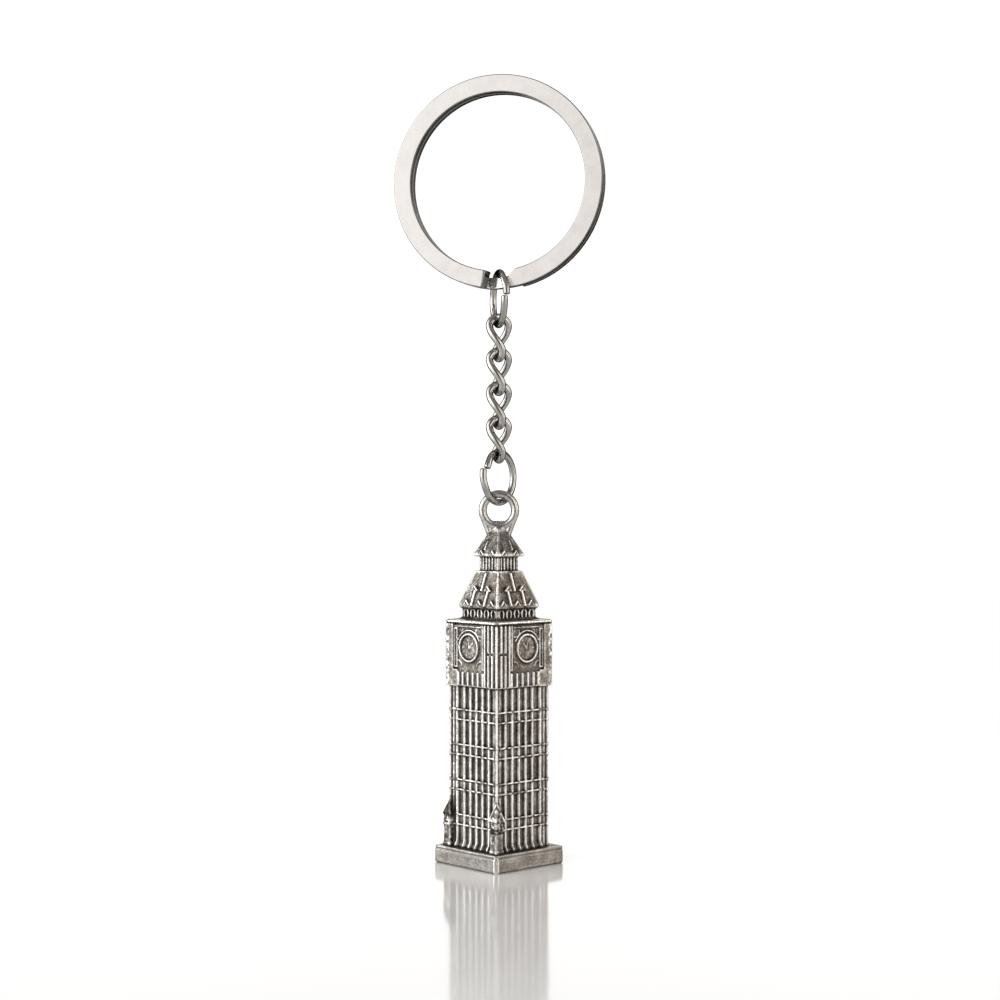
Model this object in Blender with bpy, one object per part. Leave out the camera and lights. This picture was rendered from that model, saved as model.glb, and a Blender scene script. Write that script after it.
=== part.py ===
"""Key ring souvenir: a flat split ring, two jump rings, a short twisted curb chain and a cast clock tower.

Everything hangs plumb from the origin, which is the top of the split ring's inside.
Lengths are in millimetres in the constants and become metres through MM. +Z is up.
"""

import math

import bmesh
import bpy
from mathutils import Matrix, Vector

MM = 0.001

# Split ring: one flat strip wound into two layers, with a dip where it crosses from one to the other.
RING_OUTER_R = 15.0
RING_INNER_R = 12.5
STRIP_THICKNESS = 1.25
LAYER_GAP = 0.12
STRIP_CHAMFER = 0.16
DIP_INNER_R = 13.4
DIP_HALF_ANGLE = 13.0
DIP_SLOPE_SHARE = 0.55
FRONT_END_ANGLE = -8.5
BACK_END_ANGLE = 13.0
CROSSING_START = 7.5
CROSSING_END = -7.0
RING_STEP_ANGLE = 5.0
SHARP_ANGLE = 35.0

# Jump rings and curb links, all of round wire
JUMP_WIRE_R = 0.5
UPPER_JUMP_OUTER_R = 4.17
LOWER_JUMP_OUTER_R = 4.02
JUMP_CUT_ANGLE = 4.0
LINK_WIRE_R = 0.525
LINK_LENGTH = 6.9
LINK_WIDTH = 3.9
LINK_TWIST = 94.0
LINK_COUNT = 4
LINK_END_STEPS = 10
LINK_SIDE_STEPS = 7
TWIST_REACH_SHARE = 0.5
ROUND_POINTS = 36
HANG_GAP = 0.06
DIP_HANG_GAP = 0.24

# Headings of each piece about the plumb line, in degrees from +X
UPPER_JUMP_HEADING = -64.0
UPPER_JUMP_CUT = 3.0
LINK_TOP_HEADING = 31.0
LOWER_JUMP_HEADING = 68.0
LOWER_JUMP_CUT = 160.0
TOWER_HEADING = -34.5

# Cast tower: heights above its base, and sides across the flats
BASE_SIDE, BASE_TOP, BASE_CHAMFER = 12.7, 2.45, 0.3
SHAFT_SIDE, SHAFT_TOP = 9.67, 24.9
GROOVES, GROOVE_PITCH, GROOVE_WIDTH, GROOVE_DEPTH = 6, 1.3, 0.66, 0.34
GROOVE_SHIFT = -0.2
COURSES = (5.5, 6.9, 10.4, 11.8, 15.3, 16.7, 20.2, 21.6)
COURSE_SIDE, COURSE_HEIGHT = 9.97, 0.34
CLOCK_SIDE, CLOCK_TOP = 10.56, 34.2
CORNICE_SIDE, CORNICE_HEIGHT = 10.5, 0.6
PANEL_LOW, PANEL_DEPTH = 27.5, 0.3
CORNER_RIBS, CORNER_RIB_WIDTH, CORNER_RIB_INSET = (-3.35, -4.3), 0.5, 0.04
FRAME_BARS, FRAME_BAR_WIDTH, FRAME_BAR_INSET = (-2.4, 3.25), 0.36, 0.02
STUBS, STUB_WIDTH, STUB_INSET = (3.06, 2.01, 0.96, -0.09, -1.14), 0.5, 0.06
STUB_LOW, STUB_HIGH, SILL_INSET = 25.05, 27.0, 0.1
BLOCK_START, CORNER_BEAD = 3.85, 0.4
ARCADE_SIDE, ARCADE_TOP = 7.45, 35.75
ARCH_COUNT, ARCH_PITCH, ARCH_WIDTH, ARCH_DEPTH = 5, 1.36, 0.7, 0.3
ROOF_SIDE, ROOF_TOP_SIDE, ROOF_TOP, ROOF_EDGE = 7.83, 4.63, 40.8, 0.55
EAVES_GABLES, EAVES_GABLE_SIZE = (-2.4, 0.0, 2.4), (0.8, 0.6)
DORMERS, DORMER_SIZE, DORMER_ROW, DORMER_OUT = (-1.2, 1.2), (0.8, 0.55), 38.3, 0.2
RAFTER_WIDTH, RAFTER_RISE = 0.4, 0.14
LANTERN_SIDE, LANTERN_CORE_SIDE, LANTERN_TOP = 3.74, 3.24, 42.95
COLUMNS, COLUMN_WIDTH, COLUMN_DEPTH = (-1.55, -0.52, 0.52, 1.55), 0.38, 0.6
SPIRE_SIDE, SPIRE_TIP_SIDE, SPIRE_TOP, SPIRE_EDGE = 4.88, 1.1, 47.4, 0.35
SPIRE_GABLES, SPIRE_GABLE_SIZE = (-0.95, 0.95), (0.7, 0.5)
SPIRE_RIB_START, SPIRE_RIB_END = 0.5, 1.2
EYE_OUTER_R, EYE_WIRE_R, EYE_CENTRE = 2.8, 0.575, 49.45
TURRET_CENTRE, PIER_SIDE, TURRET_SIDE, TURRET_TIP = 5.08, 1.2, 1.6, 0.1
LEDGE_SIDE, LEDGE_LOW, LEDGE_HIGH = 1.5, 5.7, 6.0
TURRET_EAVES, TURRET_APEX = 7.2, 8.9

# Radius and rise of the dial's ring, its face and the stud at its middle
DIAL_STEPS = ((2.05, 0.22), (1.71, 0.26), (0.4, 0.34))
DIAL_HEIGHT, DIAL_SHIFT, DIAL_TAPER, DIAL_FACETS = 30.35, 0.62, 0.12, 20

# How far a raised feature reaches into the body that it stands on, and a smaller overlap between roof parts
SINK = 0.2
LAP = 0.1
GABLE_INSET, GABLE_DEPTH = 0.04, 1.0
ROOF_INSET = 0.02


def clear_scene():
    for item in list(bpy.data.objects):
        bpy.data.objects.remove(item)


def new_collection(name, helper=False):
    collection = bpy.data.collections.new(name)
    bpy.context.scene.collection.children.link(collection)
    collection.hide_render = helper
    return collection


def metal(name, colour, roughness):
    material = bpy.data.materials.new(name)
    material.use_nodes = True
    shader = material.node_tree.nodes["Principled BSDF"]
    shader.inputs["Base Color"].default_value = (*colour, 1.0)
    shader.inputs["Roughness"].default_value = roughness
    shader.inputs["Metallic"].default_value = 1.0
    return material


def mesh_object(name, shape, collection, material):
    """The bmesh as a flat-shaded object, with its normals outwards."""
    bmesh.ops.recalc_face_normals(shape, faces=shape.faces)
    mesh = bpy.data.meshes.new(name)
    shape.to_mesh(mesh)
    shape.free()
    mesh.materials.append(material)
    made = bpy.data.objects.new(name, mesh)
    collection.objects.link(made)
    return made


def wire_object(name, points, radius, closed, collection, material):
    """Round wire along a list of points in millimetres."""
    curve = bpy.data.curves.new(name, "CURVE")
    curve.dimensions = "3D"
    curve.bevel_depth = radius * MM
    curve.bevel_resolution = 2
    curve.use_fill_caps = not closed
    spline = curve.splines.new("POLY")
    spline.points.add(len(points) - 1)
    for point, place in zip(spline.points, points):
        point.co = (*(place * MM), 1.0)
    spline.use_cyclic_u = closed
    spline.use_smooth = True
    curve.materials.append(material)
    made = bpy.data.objects.new(name, curve)
    collection.objects.link(made)
    return made


def smooth_step(value):
    value = min(max(value, 0.0), 1.0)
    return value * value * (3.0 - 2.0 * value)


# ---------------------------------------------------------------- plumb line


def plumb_heights():
    """Heights in millimetres of every joint's pivot and every piece's centre, from the split ring down."""
    heights = {"ring": -RING_INNER_R}
    dip = heights["ring"] - DIP_INNER_R
    heights["upper_jump_ring_pivot"] = heights["ring"] - (DIP_INNER_R + RING_OUTER_R) / 2
    inside = UPPER_JUMP_OUTER_R - 2 * JUMP_WIRE_R
    heights["upper_jump_ring"] = dip + DIP_HANG_GAP - inside
    floor = heights["upper_jump_ring"] - inside
    heights["chain_link_1_pivot"] = floor - JUMP_WIRE_R
    for number in range(1, LINK_COUNT + 1):
        top = floor + HANG_GAP + 2 * LINK_WIRE_R
        heights[f"chain_link_{number}"] = top - LINK_LENGTH / 2
        floor = top - LINK_LENGTH + 2 * LINK_WIRE_R
    reach = LINK_LENGTH / 2 - LINK_WIRE_R
    heights["chain_link_2_pivot"] = heights["chain_link_1"] - reach
    heights["chain_link_3_pivot"] = heights["chain_link_3"] + reach
    heights["chain_link_4_pivot"] = heights["chain_link_4"] + reach
    heights["lower_jump_ring"] = floor + HANG_GAP + JUMP_WIRE_R * 2 - LOWER_JUMP_OUTER_R
    heights["lower_jump_ring_pivot"] = heights["lower_jump_ring"] + LOWER_JUMP_OUTER_R - JUMP_WIRE_R
    inside = LOWER_JUMP_OUTER_R - 2 * JUMP_WIRE_R
    heights["tower_pivot"] = heights["lower_jump_ring"] - inside + HANG_GAP + EYE_WIRE_R
    heights["tower"] = heights["tower_pivot"] + EYE_WIRE_R - EYE_CENTRE - EYE_OUTER_R
    return heights


def world_height(item):
    height = 0.0
    while item is not None:
        height += item.location.z
        item = item.parent
    return height


def hang(item, height, above, heading=0.0):
    """Puts an item on the plumb line at a height in millimetres, under the pivot above it."""
    item.parent = above
    item.location.z = height * MM - world_height(above)
    item.rotation_euler.z = math.radians(heading)
    return item


def pivot(name, height, above, collection):
    """An empty on a joint's axis."""
    empty = bpy.data.objects.new(name, None)
    empty.empty_display_size = 2 * MM
    collection.objects.link(empty)
    return hang(empty, height, above)


# ---------------------------------------------------------------- split ring


def strip_path():
    """Angles along the strip, from the front layer's end, once round, across the dip and round again."""
    whole = 360.0
    start = whole + FRONT_END_ANGLE
    end = -whole + BACK_END_ANGLE
    count = round((start - end) / RING_STEP_ANGLE)
    return [start + (end - start) * i / count for i in range(count + 1)]


def strip_depth(angle):
    """How far back the strip's middle lies: the front layer, then the crossing, then the back layer."""
    across = smooth_step((CROSSING_START - angle) / (CROSSING_START - CROSSING_END))
    return (across - 0.5) * (STRIP_THICKNESS + LAYER_GAP)


def strip_inner_radius(angle):
    """The inner edge dips outwards near the bottom of the ring."""
    from_bottom = abs((angle + 180.0) % 360.0 - 180.0)
    if abs(angle) > 180.0 or from_bottom > DIP_HALF_ANGLE:
        return RING_INNER_R
    dip = smooth_step((DIP_HALF_ANGLE - from_bottom) / (DIP_HALF_ANGLE * DIP_SLOPE_SHARE))
    return RING_INNER_R + dip * (DIP_INNER_R - RING_INNER_R)


def strip_section(angle):
    """Eight corners of the strip's section: a flat bar with its long edges eased."""
    turn = math.radians(angle)
    outward = Vector((math.sin(turn), 0.0, -math.cos(turn)))
    inner, outer = strip_inner_radius(angle), RING_OUTER_R
    depth, half, ease = strip_depth(angle), STRIP_THICKNESS / 2, STRIP_CHAMFER
    corners = (
        (inner, -half + ease),
        (inner + ease, -half),
        (outer - ease, -half),
        (outer, -half + ease),
        (outer, half - ease),
        (outer - ease, half),
        (inner + ease, half),
        (inner, half - ease),
    )
    return [outward * r + Vector((0.0, depth + y, 0.0)) for r, y in corners]


def split_ring(collection, material):
    shape = bmesh.new()
    sections = [
        [shape.verts.new(place * MM) for place in strip_section(angle)]
        for angle in strip_path()
    ]
    for near, far in zip(sections, sections[1:]):
        for i in range(len(near)):
            j = (i + 1) % len(near)
            shape.faces.new((near[i], near[j], far[j], far[i]))
    shape.faces.new(sections[0])
    shape.faces.new(sections[-1])
    ring = mesh_object("split_ring", shape, collection, material)
    ring.data.shade_smooth()
    ring.data.set_sharp_from_angle(angle=math.radians(SHARP_ANGLE))
    return ring


# ------------------------------------------------------- jump rings and links


def jump_ring(name, outer_radius, cut, collection, material):
    """A ring of wire in the XZ plane with a fine cut, its two ends almost closed."""
    radius = outer_radius - JUMP_WIRE_R
    points = []
    for i in range(ROUND_POINTS + 1):
        span = (360.0 - JUMP_CUT_ANGLE) * i / ROUND_POINTS
        turn = math.radians(cut + JUMP_CUT_ANGLE / 2 + span)
        points.append(Vector((radius * math.cos(turn), 0.0, radius * math.sin(turn))))
    return wire_object(name, points, JUMP_WIRE_R, False, collection, material)


def upper_jump_ring(name, collection, material):
    return jump_ring(name, UPPER_JUMP_OUTER_R, UPPER_JUMP_CUT, collection, material)


def lower_jump_ring(name, collection, material):
    return jump_ring(name, LOWER_JUMP_OUTER_R, LOWER_JUMP_CUT, collection, material)


def link_points():
    """The middle of a curb link's wire: an oval whose lower end is turned against its upper end."""
    half_width = LINK_WIDTH / 2 - LINK_WIRE_R
    straight = LINK_LENGTH / 2 - LINK_WIRE_R - half_width
    bend = []
    for i in range(LINK_END_STEPS + 1):
        turn = math.pi * i / LINK_END_STEPS
        bend.append((half_width * math.cos(turn), straight + half_width * math.sin(turn)))
    drop = 2 * straight / (LINK_SIDE_STEPS + 1)
    side = [(-half_width, straight - drop * i) for i in range(1, LINK_SIDE_STEPS + 1)]
    half = bend + side
    oval = half + [(-x, -z) for x, z in half]
    reach = straight + half_width * TWIST_REACH_SHARE
    points = []
    for x, z in oval:
        turn = math.radians(LINK_TWIST * smooth_step((reach - z) / (2 * reach)))
        points.append(Vector((x * math.cos(turn), x * math.sin(turn), z)))
    return points


def chain_link(name, collection, material):
    return wire_object(name, link_points(), LINK_WIRE_R, True, collection, material)


# --------------------------------------------------------------------- tower


def add_box(shape, low, high):
    """A box between two corners."""
    centre = [(a + b) / 2 for a, b in zip(low, high)]
    size = [abs(b - a) for a, b in zip(low, high)]
    place = Matrix.Translation(centre) @ Matrix.Diagonal((*size, 1.0))
    return bmesh.ops.create_cube(shape, size=1.0, matrix=place)["verts"]


def add_block(shape, side, low, high, centre=(0.0, 0.0)):
    half = side / 2
    x, y = centre
    return add_box(shape, (x - half, y - half, low), (x + half, y + half, high))


def add_frustum(shape, low_side, high_side, low, high, centre=(0.0, 0.0)):
    """A four-sided roof."""
    place = Matrix.Translation((*centre, (low + high) / 2)) @ Matrix.Rotation(math.pi / 4, 4, "Z")
    bmesh.ops.create_cone(
        shape,
        cap_ends=True,
        segments=4,
        radius1=low_side / math.sqrt(2),
        radius2=high_side / math.sqrt(2),
        depth=high - low,
        matrix=place,
    )


def add_prism(shape, outline, low, high):
    """An upright prism on an outline of (x, y) points."""
    bottom = [shape.verts.new((x, y, low)) for x, y in outline]
    top = [shape.verts.new((x, y, high)) for x, y in outline]
    shape.faces.new(bottom)
    shape.faces.new(top)
    for i in range(len(outline)):
        j = (i + 1) % len(outline)
        shape.faces.new((bottom[i], bottom[j], top[j], top[i]))


def face_frames():
    """The tower's four faces: each maps (along, outward, up), with along positive towards a side corner."""
    axes = (((0, 1), (1, 0)), ((1, 0), (0, 1)), ((0, -1), (-1, 0)), ((-1, 0), (0, -1)))
    return [
        Matrix(((a[0], n[0], 0, 0), (a[1], n[1], 0, 0), (0, 0, 1, 0), (0, 0, 0, 1)))
        for a, n in axes
    ]


def face_box(shape, frame, along, outward, up):
    """A box on a face, given as (low, high) spans."""
    low = frame @ Vector((along[0], outward[0], up[0]))
    high = frame @ Vector((along[1], outward[1], up[1]))
    add_box(shape, low, high)


def around(middle, width):
    return (middle - width / 2, middle + width / 2)


def fluted_outline(side, count, pitch, width, depth, shift):
    """A square outline with grooves cut into every side."""
    half = side / 2
    centres = [shift + pitch * (i - (count - 1) / 2) for i in range(count)]
    profile = [(-half, half)]
    for centre in centres:
        for along, outward in ((-width, 0.0), (-width, depth), (width, depth), (width, 0.0)):
            profile.append((centre + along / 2, half - outward))
    outline = []
    for number, frame in enumerate(face_frames()):
        forwards = number % 2 == 0
        run = profile if forwards else [(half, half)] + profile[:0:-1]
        outline += [(frame @ Vector((along, outward, 0.0))).xy for along, outward in run]
    return outline


def chamfered_square(side, chamfer):
    half = side / 2
    inner = half - chamfer
    return [
        (inner, -half),
        (half, -inner),
        (half, inner),
        (inner, half),
        (-inner, half),
        (-half, inner),
        (-half, -inner),
        (-inner, -half),
    ]


def add_shaft(shape):
    """Grooved storeys, with the plain string courses that divide them."""
    outline = fluted_outline(
        SHAFT_SIDE, GROOVES, GROOVE_PITCH, GROOVE_WIDTH, GROOVE_DEPTH, GROOVE_SHIFT
    )
    add_prism(shape, outline, BASE_TOP - SINK, SHAFT_TOP + SINK)
    for height in COURSES:
        add_block(shape, COURSE_SIDE, height - COURSE_HEIGHT / 2, height + COURSE_HEIGHT / 2)


def add_turret(shape, x, y):
    """A corner pier with a small pointed roof."""
    centre = (x, y)
    add_block(shape, PIER_SIDE, BASE_TOP - SINK, TURRET_EAVES + SINK, centre)
    add_block(shape, LEDGE_SIDE, LEDGE_LOW, LEDGE_HIGH, centre)
    add_frustum(shape, TURRET_SIDE, TURRET_TIP, TURRET_EAVES, TURRET_APEX, centre)


def add_dial(shape, frame, wall):
    """A raised ring round a plain clock face, with a stud at its middle."""
    turn = Matrix.Rotation(math.radians(-90), 4, "X")
    for radius, rise in DIAL_STEPS:
        depth = rise + SINK
        middle = Matrix.Translation((DIAL_SHIFT, wall + rise - depth / 2, DIAL_HEIGHT))
        bmesh.ops.create_cone(
            shape,
            cap_ends=True,
            segments=DIAL_FACETS,
            radius1=radius,
            radius2=radius - DIAL_TAPER,
            depth=depth,
            matrix=frame @ middle @ turn,
        )


def add_clock_stage(shape):
    """The wide stage: dial panels between plain side corners and ribbed middle corners."""
    half = CLOCK_SIDE / 2
    wall = half - PANEL_DEPTH
    add_block(shape, 2 * wall, SHAFT_TOP, CLOCK_TOP - LAP)
    add_block(shape, CORNICE_SIDE, CLOCK_TOP - CORNICE_HEIGHT, CLOCK_TOP)
    inside = wall - SINK
    top = CLOCK_TOP - CORNICE_HEIGHT + SINK
    for frame in face_frames():
        face_box(shape, frame, (BLOCK_START, half), (inside, half), (SHAFT_TOP, top))
        face_box(shape, frame, (-half, CORNER_BEAD - half), (inside, half), (SHAFT_TOP, top))
        for along in CORNER_RIBS:
            span = around(along, CORNER_RIB_WIDTH)
            face_box(shape, frame, span, (inside, half - CORNER_RIB_INSET), (SHAFT_TOP + LAP, top))
        for along in FRAME_BARS:
            span = around(along, FRAME_BAR_WIDTH)
            face_box(shape, frame, span, (inside, half - FRAME_BAR_INSET), (PANEL_LOW - SINK, top))
        for along in STUBS:
            span = around(along, STUB_WIDTH)
            face_box(shape, frame, span, (inside, half - STUB_INSET), (STUB_LOW, STUB_HIGH))
        sill = (CORNER_RIBS[0], BLOCK_START + SINK)
        face_box(shape, frame, sill, (inside, half - SILL_INSET), (STUB_HIGH - LAP, PANEL_LOW))
        add_dial(shape, frame, wall)


def add_arcade(shape):
    outline = fluted_outline(ARCADE_SIDE, ARCH_COUNT, ARCH_PITCH, ARCH_WIDTH, ARCH_DEPTH, 0.0)
    add_prism(shape, outline, CLOCK_TOP - SINK, ARCADE_TOP + SINK)


def add_gable(shape, frame, along, front, base, size):
    """A gabled window: a triangle in front of a roof that runs back into it."""
    width, height = size
    gable = ((-width / 2, 0.0), (width / 2, 0.0), (0.0, height))
    rows = [
        [shape.verts.new(frame @ Vector((along + x, out, base + z))) for x, z in gable]
        for out in (front - GABLE_DEPTH, front)
    ]
    shape.faces.new(rows[0])
    shape.faces.new(rows[1])
    for i in range(3):
        j = (i + 1) % 3
        shape.faces.new((rows[0][i], rows[0][j], rows[1][j], rows[1][i]))


def add_rafter(shape, frame, along, foot, lean, low, high):
    """A rib lying on a roof: a box whose top leans in by lean for each unit of height."""
    depth = RAFTER_RISE + SINK
    lie = Matrix.Identity(4)
    lie[1][2] = -lean
    middle = (along, foot + RAFTER_RISE - depth / 2, 0.0)
    size = Matrix.Diagonal((RAFTER_WIDTH, depth, high - low, 1.0))
    to_middle = Matrix.Translation((0.0, 0.0, (high - low) / 2))
    place = Matrix.Translation(middle) @ Matrix.Translation((0.0, 0.0, low)) @ lie
    bmesh.ops.create_cube(shape, size=1.0, matrix=frame @ place @ to_middle @ size)


def add_lower_roof(shape):
    """The lower roof, with a row of gables at its eaves and a row of dormers on rafters above them."""
    eaves = ARCADE_TOP + ROOF_EDGE
    half = ROOF_SIDE / 2
    lean = (ROOF_SIDE - ROOF_TOP_SIDE) / 2 / (ROOF_TOP - eaves)
    row = half - lean * (DORMER_ROW - eaves)
    add_block(shape, ROOF_SIDE, ARCADE_TOP, eaves)
    add_frustum(shape, ROOF_SIDE - ROOF_INSET, ROOF_TOP_SIDE, eaves - LAP, ROOF_TOP)
    for frame in face_frames():
        for along in EAVES_GABLES:
            add_gable(shape, frame, along, half - GABLE_INSET, eaves + LAP, EAVES_GABLE_SIZE)
        for along in DORMERS:
            foot = half + LAP * lean
            add_rafter(shape, frame, along, foot, lean, eaves - LAP, DORMER_ROW + LAP)
            add_gable(shape, frame, along, row + DORMER_OUT, DORMER_ROW, DORMER_SIZE)
        add_rafter(shape, frame, 0.0, row, lean, DORMER_ROW, ROOF_TOP - LAP)


def add_spire(shape):
    """The lantern's columns, and the spire with its own row of gables."""
    eaves = LANTERN_TOP + SPIRE_EDGE
    half = SPIRE_SIDE / 2
    lean = (SPIRE_SIDE - SPIRE_TIP_SIDE) / 2 / (SPIRE_TOP - eaves)
    add_block(shape, LANTERN_CORE_SIDE, ROOF_TOP - SINK, LANTERN_TOP + SINK)
    add_block(shape, SPIRE_SIDE, LANTERN_TOP, eaves)
    add_frustum(shape, SPIRE_SIDE - ROOF_INSET, SPIRE_TIP_SIDE, eaves - LAP, SPIRE_TOP)
    front = LANTERN_SIDE / 2
    for frame in face_frames():
        for along in SPIRE_GABLES:
            add_gable(shape, frame, along, half - GABLE_INSET, eaves + LAP, SPIRE_GABLE_SIZE)
        foot = half - SPIRE_RIB_START * lean
        low, high = eaves + SPIRE_RIB_START, SPIRE_TOP - SPIRE_RIB_END
        add_rafter(shape, frame, 0.0, foot, lean, low, high)
        for along in COLUMNS:
            depth = (front - COLUMN_DEPTH, front)
            upright = (ROOF_TOP - LAP, LANTERN_TOP + LAP)
            face_box(shape, frame, around(along, COLUMN_WIDTH), depth, upright)


def eye_ring(helpers, material):
    """The cast loop over the spire, as a mesh ready to be joined. It lies across the side corners."""
    radius = EYE_OUTER_R - EYE_WIRE_R
    points = []
    for i in range(ROUND_POINTS):
        turn = 2 * math.pi * (i + 0.5) / ROUND_POINTS
        across = radius * math.cos(turn) / math.sqrt(2)
        points.append(Vector((across, across, EYE_CENTRE + radius * math.sin(turn))))
    curve = wire_object("eye_curve", points, EYE_WIRE_R, True, helpers, material)
    bpy.context.view_layer.update()
    graph = bpy.context.evaluated_depsgraph_get()
    mesh = bpy.data.meshes.new_from_object(curve.evaluated_get(graph))
    eye = bpy.data.objects.new("eye", mesh)
    helpers.objects.link(eye)
    bpy.data.objects.remove(curve)
    return eye


def union(target, helper):
    """Joins a helper to the target, which carries the helper with it."""
    helper.parent = target
    helper.hide_render = True
    helper.display_type = "WIRE"
    joined = target.modifiers.new(f"join_{helper.name}", "BOOLEAN")
    joined.operation = "UNION"
    joined.solver = "EXACT"
    joined.use_self = True
    joined.object = helper


def tower(collection, helpers, material):
    """The casting: a plain base that every other storey is joined to."""
    base = bmesh.new()
    add_prism(base, chamfered_square(BASE_SIDE, BASE_CHAMFER), 0.0, BASE_TOP)
    storeys = bmesh.new()
    add_shaft(storeys)
    add_turret(storeys, TURRET_CENTRE, -TURRET_CENTRE)
    add_turret(storeys, -TURRET_CENTRE, -TURRET_CENTRE)
    add_clock_stage(storeys)
    add_arcade(storeys)
    add_lower_roof(storeys)
    add_spire(storeys)
    for shape in (base, storeys):
        bmesh.ops.scale(shape, vec=(MM, MM, MM), verts=shape.verts)
    casting = mesh_object("tower_casting", base, collection, material)
    union(casting, mesh_object("tower_storeys", storeys, helpers, material))
    union(casting, eye_ring(helpers, material))
    return casting


# --------------------------------------------------------------------- model


def build():
    clear_scene()
    parts = new_collection("clock_tower_key_ring")
    helpers = new_collection("cutters_and_helpers", helper=True)
    nickel = metal("polished_nickel", (0.86, 0.85, 0.83), 0.16)
    wire = metal("nickel_wire", (0.78, 0.77, 0.75), 0.2)
    silver = metal("antique_silver", (0.42, 0.4, 0.37), 0.42)
    height = plumb_heights()

    hang(split_ring(parts, nickel), height["ring"], None)

    above = None
    for name, heading, make in (
        ("upper_jump_ring", UPPER_JUMP_HEADING, upper_jump_ring),
        ("chain_link_1", LINK_TOP_HEADING, chain_link),
        ("chain_link_2", LINK_TOP_HEADING, chain_link),
        ("chain_link_3", LINK_TOP_HEADING, chain_link),
        ("chain_link_4", LINK_TOP_HEADING, chain_link),
        ("lower_jump_ring", LOWER_JUMP_HEADING, lower_jump_ring),
    ):
        above = pivot(f"{name}_pivot", height[f"{name}_pivot"], above, parts)
        hang(make(name, parts, wire), height[name], above, heading)

    above = pivot("tower_pivot", height["tower_pivot"], above, parts)
    hang(tower(parts, helpers, silver), height["tower"], above, TOWER_HEADING)


build()
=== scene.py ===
import math

import bmesh
import bpy
import numpy as np
from mathutils import Matrix, Vector


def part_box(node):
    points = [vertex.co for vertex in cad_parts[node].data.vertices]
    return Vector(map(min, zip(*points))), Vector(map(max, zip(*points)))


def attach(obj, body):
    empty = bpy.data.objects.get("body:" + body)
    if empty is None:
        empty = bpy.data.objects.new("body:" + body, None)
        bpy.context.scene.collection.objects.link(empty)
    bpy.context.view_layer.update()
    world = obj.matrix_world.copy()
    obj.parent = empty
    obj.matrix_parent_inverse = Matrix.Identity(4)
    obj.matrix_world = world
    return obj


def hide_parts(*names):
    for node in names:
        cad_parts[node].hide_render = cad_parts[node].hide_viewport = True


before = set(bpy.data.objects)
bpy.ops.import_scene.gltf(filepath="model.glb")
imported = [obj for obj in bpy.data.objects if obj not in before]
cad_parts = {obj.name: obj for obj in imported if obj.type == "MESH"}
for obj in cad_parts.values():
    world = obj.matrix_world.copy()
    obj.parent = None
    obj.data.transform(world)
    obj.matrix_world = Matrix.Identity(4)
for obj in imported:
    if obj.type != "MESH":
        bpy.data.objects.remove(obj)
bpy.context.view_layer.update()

# Shapes are made in millimetres, each piece upright on its own axis, and then turned to its
# heading, in degrees about the plumb line.
MM = 0.001
HEADINGS = {"upper": -64.0, "link": 31.0, "lower": 68.0, "tower": -34.5}


# ------------------------------------ small tools


def middle(node):
    """Centre of a CAD node's box, in millimetres."""
    low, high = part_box(node)
    return (low + high) / 2 / MM


def smooth_step(value):
    """0 below 0, 1 above 1, and an eased curve between."""
    value = np.clip(value, 0.0, 1.0)
    return value * value * (3.0 - 2.0 * value)


def add_object(name, mesh, material, body, node):
    """Adds a piece that rides on a body and stands for that body's CAD node."""
    made = bpy.data.objects.new(name, mesh)
    bpy.context.scene.collection.objects.link(made)
    made.data.materials.clear()
    made.data.materials.append(material)
    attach(made, body)
    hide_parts(node)


def mesh_from(name, points, faces, smooth=True):
    """A mesh from points in metres."""
    mesh = bpy.data.meshes.new(name)
    mesh.from_pydata([tuple(p) for p in points], [], faces)
    mesh.update()
    mesh.polygons.foreach_set("use_smooth", [smooth] * len(mesh.polygons))
    return mesh


AXIS_PRIMES = np.array([374761393, 668265263, 2147483647])
HASH_PRIME = 1274126177
LOW_32, LOW_16 = 0xFFFFFFFF, 0xFFFF


def lattice(cells, seed):
    """A repeatable number from 0 to 1 for each whole-number cell."""
    mixed = (cells.astype(np.int64) * AXIS_PRIMES).sum(1)
    mixed = (mixed + seed * HASH_PRIME) & LOW_32
    mixed = ((mixed ^ (mixed >> 13)) * HASH_PRIME) & LOW_32
    return ((mixed ^ (mixed >> 16)) & LOW_16) / LOW_16


def noise(points, size, seed):
    """Smooth value noise from -1 to 1 whose lumps are about size across."""
    scaled = points / size
    cell = np.floor(scaled)
    part = smooth_step(scaled - cell)
    total = np.zeros(len(points))
    for corner in range(8):
        step = np.array([corner & 1, corner >> 1 & 1, corner >> 2 & 1])
        weight = np.prod(np.where(step, part, 1.0 - part), axis=1)
        total += weight * lattice(cell + step, seed)
    return total * 2.0 - 1.0


# --------------------------------------- materials


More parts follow.
